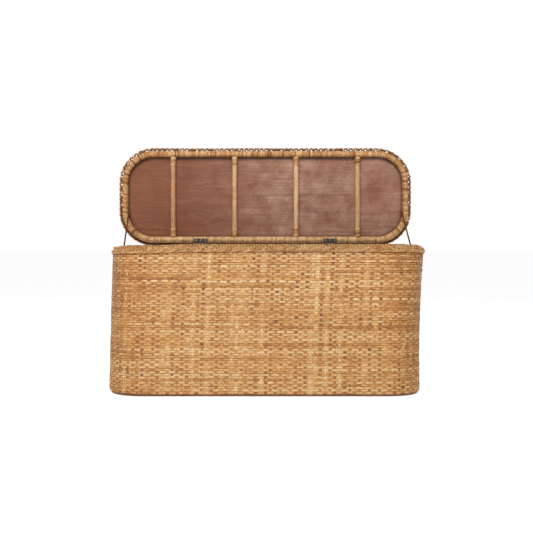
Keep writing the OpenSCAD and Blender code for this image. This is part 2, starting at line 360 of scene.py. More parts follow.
def strand_material(name, stops, painted_shade_colour, roughness=0.52, patches=0.5, gloss=0.5, speckles=0.0):
    """Rattan: colour by strand from the strand attribute, long fibres, stains, and painted shade in the gaps.
    """
    material, n = new_material(name)
    along, across, tone = n.split(n.add("ShaderNodeAttribute", attribute_name="strand").outputs["Vector"])
    painted_shade = n.add("ShaderNodeAttribute", attribute_name="painted_shade").outputs["Fac"]
    place = n.add("ShaderNodeTexCoord").outputs["Object"]
    own = n.times(tone, 61)

    def on_strand(waves, *settings):
        return n.noise((*n.waves((along, across), waves), own), *settings)

    fibres = on_strand(FIBRES, 4.0)
    flecks = on_strand(FLECKS, 2.0, 0.6)
    casts = n.noise((n.times(along, CASTS_ALONG), own, 3.1), 2.0)
    stained = n.plus(tone, n.remap(on_strand(STAINS, 2.0), 0.3, 0.7, -0.2, 0.2))
    base = n.ramp(stained, *stops)
    base = n.tint(base, n.ramp(fibres, (0.25, (0.66, 0.60, 0.55)), (0.5, WHITE), (0.8, (1.2, 1.21, 1.16))))
    flecked = ((0.26, (0.62, 0.52, 0.44)), (0.45, WHITE), (0.58, WHITE), (0.74, (1.1, 1.14, 1.18)))
    base = n.tint(base, n.ramp(flecks, *flecked))
    base = n.tint(base, n.ramp(casts, (0.34, (1.03, 0.95, 0.8)), (0.5, WHITE), (0.66, (0.99, 1.01, 1.11))))
    weathered = n.ramp(n.noise(place, 3.0, 0.6, 36), (0.34, (0.72, 0.60, 0.48)), (0.47, WHITE))
    base = n.tint(base, weathered, patches)
    speckled = n.ramp(n.noise(place, 2.0, 0.6, 150), (0.4, (0.68, 0.52, 0.38)), (0.5, (1.1, 1.12, 1.17)))
    base = n.tint(base, speckled, speckles)
    # Painted shade: the colour goes towards the painted shade colour in gaps, dips and grooves.
    n.put("Base Color", n.mix(painted_shade, base, painted_shade_colour))
    n.put("Roughness", n.remap(fibres, 0.2, 0.8, roughness + 0.12, roughness - 0.12))
    n.put("Specular IOR Level", gloss)
    n.bump(fibres, 0.35, 0.4 * MM)
    return material


def ring_shadow_mask(n, x, z):
    """1 against the lid ring, where the ring's painted shadow falls on the panel, falling to 0 a little way
    in from it.
    """
    middle = (panel_low.z + panel_high.z) / 2
    far_x = n.math("MAXIMUM", n.minus(n.math("ABSOLUTE", x), LID_PATH[0] - PATH_R), 0.0)
    off_z = n.math("ABSOLUTE", n.minus(z, middle))
    far_z = n.math("MAXIMUM", n.minus(off_z, LID_PATH[1] - PATH_R), 0.0)
    squares = n.plus(n.times(far_x, far_x), n.times(far_z, far_z))
    inside = n.minus(PATH_R, n.math("SQRT", squares))
    return n.remap(inside, RING_R, RING_R + 9 * MM, 1.0, 0.0)


def plywood_material(name, dark, mid, light, dust_and_sheen_colour, dust_and_sheen_amount, ring_shadowed=False):
    """Stained plywood with grain along X, in object coordinates, a haze of dust and painted sheen to the
    right, and, when ring_shadowed, the lid ring's painted shadow.
    """
    material, n = new_material(name)
    place = n.add("ShaderNodeTexCoord").outputs["Object"]
    x, y, z = n.split(place)
    slow = n.noise(n.waves((x, y, z), BENDS), 2.0)
    swirls = n.noise(n.waves((x, y, z), SWIRLS), 2.0)
    bent = n.plus(n.times(slow, 2.6), n.times(swirls, 6))
    cross = n.plus(n.times(z, 60), n.times(y, 60))
    figure = n.noise((n.times(x, 2.6), n.plus(n.times(cross, 1.5), bent), 0.0), 5.0, 0.6)
    pores = n.noise((n.times(x, 30), n.times(cross, 14), 0.0), 2.0)
    lines = n.noise((n.times(x, 6), n.plus(n.times(cross, 5), bent), 1.7), 3.0)
    base = n.ramp(figure, (0.28, dark), (0.5, mid), (0.74, light))
    base = n.tint(base, n.ramp(pores, (0.3, (0.89, 0.87, 0.85)), (0.6, (1.03, 1.03, 1.03))))
    base = n.tint(base, n.ramp(lines, (0.32, (0.86, 0.83, 0.81)), (0.5, WHITE)))
    blotches = n.noise(place, 3.0, 0.55, 11)
    base = n.tint(base, n.ramp(blotches, (0.36, (0.84, 0.81, 0.78)), (0.6, (1.03, 1.03, 1.03))))
    cloud = n.noise(place, 6.0, 0.75, 13)
    # Dust and a painted sheen of light, growing towards the right.
    dust_and_sheen = n.times(n.remap(x, -0.3, 0.08, 0.0, 1.0), n.remap(cloud, 0.35, 0.66, 0.15, 1.05))
    dust_and_sheen = n.times(dust_and_sheen, n.remap(x, 0.1, 0.4, 1.0, 0.72))
    dust_and_sheen = n.times(dust_and_sheen, n.remap(lines, 0.34, 0.62, 0.6, 1.3))
    # The dust and painted sheen are brushed in curved streaks that slant across the grain.
    turned = n.plus(n.times(x, 0.8), n.times(z, 0.6))
    crossed = n.minus(n.times(z, 0.8), n.times(x, 0.6))
    curved = n.plus(n.times(crossed, 130), n.times(cloud, 9))
    brushed = n.noise((n.times(turned, 24), curved, 0.0), 3.0, 0.6)
    streaks = n.remap(brushed, 0.5, 0.72, 0.0, 1.0)
    marked = n.plus(dust_and_sheen, n.times(n.times(dust_and_sheen, streaks), 0.6))
    base = n.mix(n.times(marked, dust_and_sheen_amount), base, dust_and_sheen_colour)
    if ring_shadowed:
        # Painted shadow of the lid ring on the panel, strongest under the top of the ring, where light from
        # above casts it.
        shadow_strength = n.remap(z, panel_high.z - 50 * MM, panel_high.z, 0.6, 0.95)
        base = n.mix(n.times(ring_shadow_mask(n, x, z), shadow_strength), base, tuple(c * 0.35 for c in dark))
    n.put("Base Color", base)
    n.put("Roughness", n.remap(figure, 0.2, 0.8, 0.6, 0.48))
    n.put("Specular IOR Level", 0.3)
    n.bump(pores, 0.25, 0.3 * MM)
    return material


def metal_material(name, dark, light, roughness):
    """Plated steel with fine cloudy wear."""
    material, n = new_material(name)
    place = n.add("ShaderNodeTexCoord").outputs["Object"]
    wear = n.noise(place, 4.0, 0.55, 220)
    scratches = n.noise(n.waves(n.split(place), SCRATCHES), 3.0)
    n.put("Base Color", n.ramp(wear, (0.35, dark), (0.68, light)))
    n.put("Metallic", 0.85)
    n.put("Roughness", n.remap(scratches, 0.3, 0.7, roughness - 0.08, roughness + 0.14))
    n.bump(scratches, 0.15, 0.1 * MM)
    return material


# ---------------- strands as mesh

def spread(value, n, k):
    """One number, one per place along the strand, or one per point, as one per point."""
    value = np.asarray(value, float)
    if value.ndim == 1:
        value = value[:, None]
    return np.broadcast_to(value, (n, k))


def lean(z):
    """The handmade basket stands a little to the left of its rim, most of all at the bottom."""
    return -LEAN * (1 - np.clip(z / wall_high.z, 0, 1) ** 2.2)


def fill(items, key, values, kind):
    items.foreach_set(key, values.astype(kind).ravel())


class Strands:
    """Collects swept strands and builds them as one mesh with the strand attribute and a painted shade
    attribute, which darkens gaps and grooves.
    """

    def __init__(self):
        self.points, self.faces, self.strand, self.painted_shade = [], [], [], []
        self.count = 0

    def add(self, rings, along, tone, painted_shade=0.0, across=None, closed=False):
        """rings is (n, k, 3) points: n places along the strand and k round it."""
        n, k = rings.shape[:2]
        index = np.arange(n * k).reshape(n, k)
        rows = np.vstack([index, index[:1]]) if closed else index
        loop = np.hstack([rows, rows[:, :1]])
        quads = np.stack([loop[:-1, :-1], loop[:-1, 1:], loop[1:, 1:], loop[1:, :-1]], axis=-1).reshape(-1, 4)
        flat = rings.reshape(-1, 3)
        middle = flat.mean(axis=0)
        a, b, c, d = (flat[quads[:, i]] - middle for i in range(4))
        inside_out = (a * (np.cross(b, c) + np.cross(c, d))).sum() < 0
        faces = [quads] if closed else [quads, index[0][::-1][None], index[-1][None]]
        for group in faces:
            self.faces.append((group[:, ::-1] if inside_out else group) + self.count)
        if across is None:
            across = np.broadcast_to(np.linspace(0, 1, k), (n, k))
        values = np.stack([spread(along, n, k), across, spread(tone, n, k)], axis=-1)
        self.points.append(flat)
        self.strand.append(values.reshape(-1, 3))
        self.painted_shade.append(spread(painted_shade, n, k).ravel())
        self.count += n * k

    def build(self, name, material, body, node):
        points = np.concatenate(self.points)
        if body == "lid":
            turn = np.array(OPENING)
            points = points @ turn[:3, :3].T + turn[:3, 3]
        else:
            points[:, 0] += lean(points[:, 2])
        mesh = bpy.data.meshes.new(name)
        sizes = np.concatenate([np.full(len(f), f.shape[1]) for f in self.faces])
        corners = np.concatenate([f.ravel() for f in self.faces])
        mesh.vertices.add(len(points))
        mesh.loops.add(len(corners))
        mesh.polygons.add(len(sizes))
        fill(mesh.vertices, "co", points, np.float32)
        fill(mesh.loops, "vertex_index", corners, np.int32)
        fill(mesh.polygons, "loop_start", np.cumsum(sizes) - sizes, np.int32)
        fill(mesh.polygons, "loop_total", sizes, np.int32)
        fill(mesh.polygons, "use_smooth", np.ones(len(sizes)), bool)
        strand = mesh.attributes.new("strand", "FLOAT_VECTOR", "POINT")
        fill(strand.data, "vector", np.concatenate(self.strand), np.float32)
        painted_shade = mesh.attributes.new("painted_shade", "FLOAT", "POINT")
        fill(painted_shade.data, "value", np.concatenate(self.painted_shade), np.float32)
        mesh.update(calc_edges=True)
        mesh.validate()
        mesh.materials.append(material)
        piece = new_object(name, mesh)
        if body:
            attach(piece, body)
        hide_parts(node)
        return piece


def loop_length(x, y, r):
    """The length round a rounded rectangle that reaches x and y from its middle, with corners of radius r."""
    return 4 * (x - r) + 4 * (y - r) + 2 * math.pi * r


def evenly(path, n):
    """The distances along a closed path of n points spaced evenly round it."""
    return np.arange(n) * loop_length(*path) / n


def rope_places(path, step):
    """The distances along a closed path of points about a step apart."""
    return evenly(path, int(loop_length(*path) / step))


def loop_at(s, x, y, r):
    """Points and outward normals at distances s round a rounded rectangle, from the back's middle."""
    straight_x, straight_y, arc = 2 * (x - r), 2 * (y - r), math.pi / 2 * r
    total = loop_length(x, y, r)
    s = (np.asarray(s, float) + (straight_x + total) / 2) % total
    place = np.zeros((len(s), 2))
    normal = np.zeros((len(s), 2))
    start = 0.0
    for i, length in enumerate((straight_x, straight_y, straight_x, straight_y)):
        a = math.radians(90 * i - 90)
        out = np.array([math.cos(a), math.sin(a)])
        ahead = np.array([-out[1], out[0]])
        reach = y if i % 2 == 0 else x
        on = (s >= start) & (s < start + length)
        place[on] = out * reach + np.outer(s[on] - start - length / 2, ahead)
        normal[on] = out
        start += length
        on = (s >= start) & (s < start + arc + 1e-9)
        turn = a + (s[on] - start) / r
        spokes = np.stack([np.cos(turn), np.sin(turn)], axis=1)
        place[on] = out * (reach - r) + ahead * length / 2 + r * spokes
        normal[on] = spokes
        start += arc
    return place, normal


def wander(s, total, size, waves, seed):
    """A smooth closed wobble of about that size."""
    own = np.random.default_rng(seed)
    out = np.zeros(len(s))
    for k in range(1, waves + 1):
        out += own.normal() / math.sqrt(k) * np.sin(2 * math.pi * k * s / total + own.uniform(0, 6.3))
    return out * size / math.sqrt(waves) * 1.2


def strip_tones(s, total, mean):
    """A tone for each place along a row that is made of several strips laid end to end."""
    tones = np.zeros(len(s))
    at = rng.uniform(-mean, 0)
    while at < total:
        end = at + mean * rng.uniform(0.5, 1.5)
        tones[(s >= at) & (s < end)] = rng.uniform(0, 1)
        at = end
    return tones


def swept(centre, out, up, profile):
    """Rings of a profile of (outward, upward) points at each centre."""
    outward, upward = profile[None, :, :1], profile[None, :, 1:]
    return centre[:, None, :] + outward * out[:, None, :] + upward * up[:, None, :]


def tube(path, side, above, r, angle):
    """Rings at radius r round a path, with each angle measured from side to above."""
    return (path[:, None, :] + (r * np.cos(angle))[..., None] * side[:, None, :]
            + (r * np.sin(angle))[..., None] * above[:, None, :])


def lens(width, front, back):
    """A flat strip's section: crowned in front, flatter behind."""
    half = width / 2
    return np.array([[0, -half], [front * 0.78, -half * 0.66], [front, 0], [front * 0.78, half * 0.66],
                     [0, half], [-back, 0]])


def round_angles(k):
    return np.arange(k) * 2 * math.pi / k


def circle(r, k):
    a = round_angles(k)
    return np.stack([r * np.cos(a), r * np.sin(a)], axis=1)


def unit(rows):
    return rows / np.linalg.norm(rows, axis=1)[:, None]


def centre_of(low, high):
    return [(a + b) / 2 for a, b in zip(low, high)]


def everywhere(direction, path):
    """The same direction at every point of a path."""
    return np.broadcast_to(np.array(direction, float), path.shape)


def ring_frame(s, x, y, r):
    """Points (z = 0), outward and upward directions round a rounded rectangle."""
    place, normal = loop_at(s, x, y, r)
    zero = np.zeros((len(s), 1))
    place = np.hstack([place, zero])
    return place, np.hstack([normal, zero]), everywhere((0, 0, 1), place)


def bent(rings, bends):
    """Rings moved by some functions, one after another."""
    for bend in bends:
        rings = bend(rings)
    return rings


def square_to(path, closed=False):
    """Two directions square to a path that is nowhere upright, steady along it."""
    ahead = unit(np.roll(path, -1, 0) - np.roll(path, 1, 0) if closed else np.gradient(path, axis=0))
    side = unit(np.cross(ahead, np.array([0.0, 0.0, 1.0])))
    return side, np.cross(side, ahead)


def beside(s, path, outward, upward):
    """Points at distances s round a closed path, moved outward and upward of it."""
    place, out, up = ring_frame(s, *path)
    return place + out * outward[:, None] + up * upward[:, None]


def flat_strip(s, path, outward, upward, width):
    """Rings of a flat strip that runs beside a closed path."""
    middle = beside(s, path, outward, upward)
    side, above = square_to(middle)
    return swept(middle, above, side, lens(width, 0.8 * MM, 0.6 * MM))


def over_under(stake, turn, forward):
    """1 in front of a stake and -1 behind it, in front for longer than behind."""
    wave = np.tanh(2.4 * (np.cos(math.pi * (stake + turn)) + forward))
    return wave / np.tanh(2.4 * (1 + forward))


def stake_counter(count, jitter, seed):
    """Where a number of unevenly set stakes stand, in pitches."""
    places = np.arange(count + 1) + np.random.default_rng(seed).normal(0, jitter, count + 1)
    places[0], places[-1] = 0, count
    return places


def uneven(stake, size, seed):
    """A value that is different at every stake, joined by straight lines, and closed for the wall."""
    values = np.random.default_rng(seed).normal(0, size, STAKES)
    return np.interp(stake % STAKES, np.arange(STAKES + 1), np.append(values, values[0]))


def strip_painted_shade(under, edge):
    """How much painted shade a lens strip gets: a little where it dives under, and along both edges."""
    edges = np.array([1.0, 0.25, 0.0, 0.25, 1.0, 1.0])
    return np.clip(np.asarray(under)[:, None] * 0.25 + np.asarray(edge).reshape(-1, 1) * edges, 0, 1)


# ---------------- the woven wall

MID_X = wall_high.x - WALL_T / 2
MID_Y = wall_high.y - WALL_T / 2
MID_R = WALL_R - WALL_T / 2
WALL_LENGTH = loop_length(MID_X, MID_Y, MID_R)
STAKE_PITCH = WALL_LENGTH / STAKES
ROW_PITCH = (wall_high.z - wall_low.z) / ROWS


def wall_share(z):
    """How far up the wall a height is, from 0 to 1."""
    return (z - wall_low.z) / (wall_high.z - wall_low.z)


def wall_shape(s, z):
    """How far out the handmade wall stands: wavy, a little waisted, and turned in at the foot."""
    swell = np.sin(math.pi * np.clip(wall_share(z), 0, 1))
    foot = np.clip(1 - (z - wall_low.z) / FOOT_H, 0, 1) ** 2
    return wander(s, WALL_LENGTH, 0.9 * MM, 4, 11) * swell - WAIST * swell - FOOT_IN * foot


def row_drift(s, z):
    """How far the rows wander up and down together."""
    height = wall_share(z)
    first = wander(s, WALL_LENGTH, ROW_DRIFT, 7, 21) * np.sin(math.pi * height)
    return first + wander(s, WALL_LENGTH, ROW_DRIFT * 0.6, 11, 22) * np.sin(2 * math.pi * height)


def add_row(strands, row, s, stake, row_tone):
    """One strip woven round the wall, in front of every other stake."""
    place, out, up = ring_frame(s, MID_X, MID_Y, MID_R)
    z = wall_low.z + (row + 0.5) * ROW_PITCH
    forward = FORWARD + wander(s, WALL_LENGTH, 0.11, 30, 400 + row) + uneven(stake, 0.13, 600 + row)
    wave = over_under(stake, row, np.clip(forward, 0.2, 0.94))
    wave = np.where(wave < 0, wave * DEEPER_BEHIND, wave)
    lift = (rng.uniform(2.1, 2.6) + uneven(stake, 0.25, 800 + row)) * MM * wave + wall_shape(s, z)
    tilt = uneven(stake, 0.4 * MM, 1000 + row) * np.cos(2 * math.pi * stake)
    rise = wander(s, WALL_LENGTH, 0.3 * MM, 16, 100 + row) + row_drift(s, z)
    rise = rise + uneven(stake, 0.55 * MM, 200 + row) + tilt
    middle = place + out * lift[:, None] + up * (z + rise)[:, None]
    width = ROW_PITCH * (rng.uniform(0.98, 1.12) + uneven(stake, 0.1, 300 + row))
    rings = swept(middle, out, up * width[:, None], lens(1, 0.95 * MM, 0.9 * MM))
    tone = 0.5 * row_tone + 0.5 * strip_tones(s, WALL_LENGTH, 0.4) + uneven(stake, 0.09, 500 + row)
    # Painted shade round the curved ends of the wall: darker strips there, and darker edges between rows.
    end_shade = np.clip((np.abs(place[:, 0]) - END_SHADE_FROM) / END_SHADE_BLEND, 0, 1)
    # The rows are painted a little darker towards the top, offsetting the key light, which falls brighter
    # there.
    tone = tone - END_SHADE * end_shade - 0.08 * (row / ROWS - 0.5)
    # Painted shade along the strip's edges, where the rows meet, and where it dives under the stakes.
    edge = 0.06 + 0.66 * rng.uniform() ** 3 + wander(s, WALL_LENGTH, 0.24, 40, 700 + row) + 0.3 * end_shade
    painted_shade = strip_painted_shade(np.clip(-wave, 0, 1), np.clip(edge, 0.0, 0.95))
    strands.add(rings, s + row * 3.7, np.clip(tone, 0, 1), painted_shade, closed=True)


def build_stakes(stake_material, stands):
    """The wall's upright stakes, which are flat strips too."""
    stakes = Strands()
    z = np.linspace(wall_low.z + 1 * MM, RAIL_Z + 4 * MM, 78)
    for i in range(STAKES):
        at = np.full(len(z), stands[i] * STAKE_PITCH)
        place, out, up = ring_frame(at, MID_X, MID_Y, MID_R)
        side = np.cross(up, out)
        sway = wander(z, 0.6, 0.5 * MM, 4, 500 + i)
        shape = np.array([wall_shape(at[:1], level)[0] for level in z])
        shape = shape + (0.35 * MM if i % 2 else -0.35 * MM)
        middle = place + up * z[:, None] + side * sway[:, None] + out * shape[:, None]
        profile = circle(1.0, 8) * [1.1 * MM, rng.uniform(8.6, 9.0) * MM]
        tone = 0.12 + 0.3 * rng.uniform() + 0.4 * strip_tones(z - z[0], 0.6, 0.03)
        tone = np.where(strip_tones(z - z[0], 0.6, 0.012) < DARK_PATCHES, 0.0, tone)
        if rng.uniform() < LIGHT_STAKES:
            tone = np.clip(tone + 0.4, 0, 1)
        stakes.add(swept(middle, out, side, profile), z + i * 1.3, tone)
    stakes.build("wall_stakes", stake_material, "base", "woven_wall")


def build_wall(weave, stake_material):
    steps = 6
    s = np.arange(STAKES * steps) * STAKE_PITCH / steps
    stands = stake_counter(STAKES, 0.085, 5)
    stake = np.interp(s / STAKE_PITCH, stands, np.arange(STAKES + 1))
    slow = 0.1 * np.sin(np.arange(ROWS) * 0.9)
    row_tones = np.clip(0.5 + 0.16 * rng.normal(size=ROWS) + slow, 0.1, 0.8)
    for band in range(ROWS // ROWS_PER_BAND):
        strands = Strands()
        for row in range(band * ROWS_PER_BAND, (band + 1) * ROWS_PER_BAND):
            add_row(strands, row, s, stake, row_tones[row])
        strands.build(f"wall_weave_{band + 1:02d}", weave, "base", "woven_wall")
    build_stakes(stake_material, stands)


# ---------------- braids, ropes, wrappings and poles

def add_braid(strands, path, section, count, crossings, width, lift, seed, bends):
    """Two families of strips that cross over a curved section carried round a closed path.

    The section is (outward, height) points from one edge to the other."""
    pitch = loop_length(*path) / count
    section = np.array(section, float)
    lengths = np.concatenate([[0], np.cumsum(np.linalg.norm(np.diff(section, axis=0), axis=1))])
    t = np.linspace(0, 1, 4 * crossings + 1)
    u = np.interp(t * lengths[-1], lengths, section[:, 0])
    v = np.interp(t * lengths[-1], lengths, section[:, 1])
    du, dv = np.gradient(u), np.gradient(v)
    face = np.stack([-dv, du], axis=1) / np.hypot(du, dv)[:, None]
    own = np.random.default_rng(seed)
    wave = np.cos(math.pi * crossings * t)
    for family in (-1, 1):
        for i in range(count):
            s = (i + 0.5 + own.normal(0, 0.05)) * pitch + family * crossings * pitch / 2 * t
            place, out, up = ring_frame(s, *path)
            facing = out * face[:, :1] + up * face[:, 1:]
            over = family * wave * lift
            middle = place + out * u[:, None] + up * v[:, None] + facing * over[:, None]
            side = unit(np.cross(facing, unit(np.gradient(middle, axis=0))))
            rings = swept(middle, facing, side, lens(width * own.uniform(0.92, 1.08), 0.8 * MM, 0.5 * MM))
            # Painted shade where a strip dives under the other family, and along its edges.
            painted_shade = strip_painted_shade(np.clip(-family * wave, 0, 1) * 2.6, own.uniform(0.55, 1))
            strands.add(bent(rings, bends), t * lengths[-1] + own.uniform(0, 9), own.uniform(0.05, 0.7), painted_shade)


def add_rope(strands, path, offset, height, ply, ply_r, twist_r, lay, seed, step=3.0 * MM, bends=(),
             lighter=0.0):
    """A rope of some plies laid round a closed path, at an outward offset and a height."""
    total = loop_length(*path)
    s = rope_places(path, step)
    turns = round(total / lay)
    own = np.random.default_rng(seed)
    for p in range(ply):
        a = 2 * math.pi * (turns * s / total + p / ply) + wander(s, total, 0.25, 7, seed + p)
        middle = beside(s, path, offset + twist_r * np.cos(a), height + twist_r * np.sin(a))
        side, above = square_to(middle, closed=True)
        tone = np.clip(0.3 * own.uniform() + 0.7 * strip_tones(s, total, 0.25) + lighter, 0, 1)
        rings = swept(middle, side, above, circle(ply_r, 8))
        strands.add(bent(rings, bends), s + p * 5, tone, closed=True)


def add_winding(strands, path, hidden, other, radius, seed, steps=5, closed=False, bends=(),
                mottle=0.16, opening=0.0, lighter=0.0):
    """A strip wound side by side round a pole. Each turn is crowned and has its own tone.

    The path has a point for each step along it, and hidden is the direction where the turns join."""
    n, around = len(path), 20
    own = np.random.default_rng(seed)
    count = n // steps + 2
    tones = np.clip(0.52 + mottle * own.normal(size=count), 0.12, 0.95)
    tones = np.where(own.uniform(size=count) < DARK_TURNS, 0.03, tones)
    sizes = own.uniform(0, 0.35, count) * MM
    angle = round_angles(around)
    turn = np.arange(n)[:, None] / steps + np.arange(around)[None] / around
    part = turn % 1
    crown = np.sin(math.pi * part) ** 0.5
    label = turn.astype(int) % (n // steps if closed else count)
    groove = WRAP_GROOVE * (1 + np.broadcast_to(np.asarray(opening, float).reshape(-1, 1), (n, around)))
    r = radius - groove * (1 - crown) - sizes[label]
    rings = bent(tube(path, hidden, other, r, angle), bends)
    along = angle[None] * radius + label * 0.37
    # Painted shade in the grooves between turns.
    painted_shade = np.clip(np.clip(1 - crown / 0.6, 0, 1) * 0.75 * groove / WRAP_GROOVE, 0, 1)
    tone = np.clip(tones[label] + np.asarray(lighter, float).reshape(-1, 1), 0, 1)
    strands.add(rings, along, tone, painted_shade, across=part, closed=closed)


def add_pole(strands, path, side, above, radius, seed, closed=False, joint_pitch=0.24, tone=None):
    """A rattan pole: slightly uneven, with the swollen rings where its leaves grew."""
    n = len(path)
    own = np.random.default_rng(seed)
    step = np.linalg.norm(path[1] - path[0])
    s = np.arange(n) * step
    r = radius * (1 - 0.012 + wander(s, s[-1] + step, 0.008, 6, seed))
    painted_shade = np.zeros(n)
    at = own.uniform(0.3, 0.8) * joint_pitch
    while at < s[-1] - 20 * MM:
        swelling = np.exp(-((s - at) / (3.5 * MM)) ** 2)
        groove = np.exp(-((s - at - 5 * MM) / (1.6 * MM)) ** 2)
        r = r + radius * 0.028 * swelling - radius * 0.05 * groove
        # Painted shade in the groove beside each swollen ring.
        painted_shade = painted_shade + 0.7 * np.exp(-((s - at - 5 * MM) / (1.8 * MM)) ** 2)
        at += joint_pitch * own.uniform(0.75, 1.3)
    rings = tube(path, side, above, r[:, None], round_angles(14))
    start = own.uniform(0, 9)
    tone = own.uniform(0.25, 0.8) if tone is None else tone
    strands.add(rings, s + start, tone, np.clip(painted_shade, 0, 1), closed=closed)


def straight(a, b, step):
    """A straight path and two directions square to it."""
    a, b = np.array(a, float), np.array(b, float)
    n = max(int(np.linalg.norm(b - a) / step), 2)
    path = a + (b - a) * np.linspace(0, 1, n + 1)[:, None]
    ahead = (b - a) / np.linalg.norm(b - a)
    other = np.array([1.0, 0, 0]) if abs(ahead[0]) < 0.5 else np.array([0, 0, 1.0])
    side = np.cross(ahead, other)
    side /= np.linalg.norm(side)
    return path, everywhere(side, path), everywhere(np.cross(ahead, side), path)


def leaf_press(body, side):
    """Gives a function that presses strands flat where a hinge leaf lies on them."""
    low, high = box_of(f"hinge_{body}_leaf_{side}", body)
    margin = 1.2 * MM
    gap = 0.1 * MM

    def press(rings):
        x, y, z = rings[..., 0], rings[..., 1], rings[..., 2]
        under = (x > low.x - margin) & (x < high.x + margin) & (y > high.y - 21 * MM)
        limit = np.minimum(z, low.z - gap) if body == "base" else np.maximum(z, high.z + gap)
        rings = rings.copy()
        rings[..., 2] = np.where(under, limit, z)
        return rings

    return press


# ---------------- the base

def rim_sag(rings):
    """The handmade rim droops a little at its left end, and slopes down to both tips."""
    rings = rings.copy()
    left = np.clip((SAG_FROM - rings[..., 0]) / SAG_BLEND, 0, 1)
    rings[..., 2] -= RIM_SAG * left ** 2 * (3 - 2 * left)
    shoulder = np.clip((np.abs(rings[..., 0]) - lip_high.x + SHOULDER) / SHOULDER, 0, 1)
    rings[..., 2] -= SHOULDER_DROP * np.sin(math.pi * shoulder)
    return rings


def build_rim(weave, braid_material, stake_material):
    presses = [leaf_press("base", side) for side in SIDES]
    braid = Strands()
    section = [(u * MM, RAIL_Z + v * MM) for u, v in BORDER_SECTION]
    add_braid(braid, RIM_PATH, section, 250, 8, 6.4 * MM, 1.3 * MM, 21, [rim_sag] + presses)
    braid.build("rim_braid", braid_material, "base", "rim_border")
    lip = Strands()
    offset = lip_high.x - LIP_R - PATH_X
    add_rope(lip, RIM_PATH, offset, lip_low.z + LIP_R, 3, 1.9 * MM, 1.7 * MM, 46 * MM, 31,
             bends=[rim_sag], lighter=-0.3)
    lip.build("rim_lip_rope", weave, "base", "rim_lip")
    # Short dark strips tucked under the lip, as painted shadow beneath it.
    shadow_strips = Strands()
    count = round(loop_length(*RIM_PATH) / SHADOW_STRIP_PITCH)
    offset = wall_high.x - PATH_X + 1.0 * MM
    t = np.linspace(-1, 1, 5)
    for i in range(count):
        if rng.uniform() > SHADOW_STRIPS_SHOWN:
            continue
        s = (i + rng.normal(0, 0.12)) * SHADOW_STRIP_PITCH + t * rng.uniform(1, 4) * MM
        height = lip_low.z + (t * 1.6 - 1.4) * MM
        strip = flat_strip(s, RIM_PATH, offset + t * 1.2 * MM, height, 3.2 * MM)
        shadow_strips.add(rim_sag(strip), t * 0.01, 0.0)
    shadow_strips.build("rim_shadow_strips", stake_material, "base", "rim_lip")


def build_rail(node, pole_material, seed):
    low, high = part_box(node)
    r = (high.z - low.z) / 2
    path = (high.x - r, high.y - r, PATH_R - (PATH_X - (high.x - r)))
    place, out, up = ring_frame(rope_places(path, 3.2 * MM), *path)
    strands = Strands()
    centre = place + up * (low.z + r)
    if node == "top_rail":
        centre = rim_sag(centre)
    add_pole(strands, centre, out, up, r, seed, closed=True)
    strands.build(f"{node}_pole", pole_material, "base", node)


def build_posts(pole_material, wrap):
    names = ["post_left", "post_right"]
    names += [f"post_{side}_{i}" for side in ("front", "back") for i in range(1, 5)]
    places = {name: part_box(name) for name in names}
    for i, (name, (low, high)) in enumerate(places.items()):
        x, y, _ = centre_of(low, high)
        strands = Strands()
        path, side, above = straight((x, y, low.z + 8 * MM), (x, y, high.z - 8 * MM), 3 * MM)
        add_pole(strands, path, side, above, 9 * MM, 900 + i)
        strands.build(f"{name}_pole", pole_material, "base", name)
    for node in ("post_bindings_bottom", "post_bindings_top"):
        z_low, z_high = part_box(node)[0].z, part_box(node)[1].z
        strands = Strands()
        for i, (low, high) in enumerate(places.values()):
            x, y, _ = centre_of(low, high)
            path, side, above = straight((x, y, z_low), (x, y, z_high), 0.9 * MM)
            add_winding(strands, path, side, above, 10.4 * MM, 950 + i)
        strands.build(f"{node}_cane", wrap, "base", node)


def build_board(board_material):
    """The plywood base board, with softened edges."""
    corner = WALL_R - (wall_high.x - board_high.x)
    rings = []
    for inset, z in ((4, 0.6), (0.9, 0.6), (0, 1.4), (0, 8.1), (0.9, 9), (4, 9)):
        path = (board_high.x - inset * MM, board_high.y - inset * MM, corner - inset * MM)
        place, _, up = ring_frame(evenly(path, 220), *path)
        rings.append(place + up * (board_low.z + z / 9 * (board_high.z - board_low.z)))
    strands = Strands()
    strands.add(np.array(rings), 0.0, 0.5)
    strands.build("base_board_plywood", board_material, "base", "base_board")


# ---------------- the lid

def build_lid_ring(wrap):
    presses = [leaf_press("lid", side) for side in SIDES]
    steps = 5
    place, out, up = ring_frame(evenly(LID_PATH, RING_TURNS * steps), *LID_PATH)
    strands = Strands()
    round_ends = np.clip((np.abs(place[:, 0]) - (LID_PATH[0] - PATH_R)) / (20 * MM), 0, 1)
    # Painted light: the turns on the hinge side get lighter tones, standing in for light that reaches them
    # there.
    hinge_side_painted_light = 0.36 * np.clip((place[:, 1] - LID_PATH[1] + 30 * MM) / (20 * MM), 0, 1)
    add_winding(strands, place + up * RING_Z, up, out, RING_R, 41, steps, closed=True, bends=presses,
                mottle=0.22, opening=round_ends, lighter=hinge_side_painted_light)
    strands.build("lid_ring_cane", wrap, "lid", "lid_ring_wrap")


def cover_half(across, reach, side_reach):
    """Half the cover's length along a line that is some way across it."""
    beyond = max(abs(across) - (side_reach - COVER_R), 0)
    return reach - COVER_R + math.sqrt(max(COVER_R ** 2 - beyond ** 2, 0))


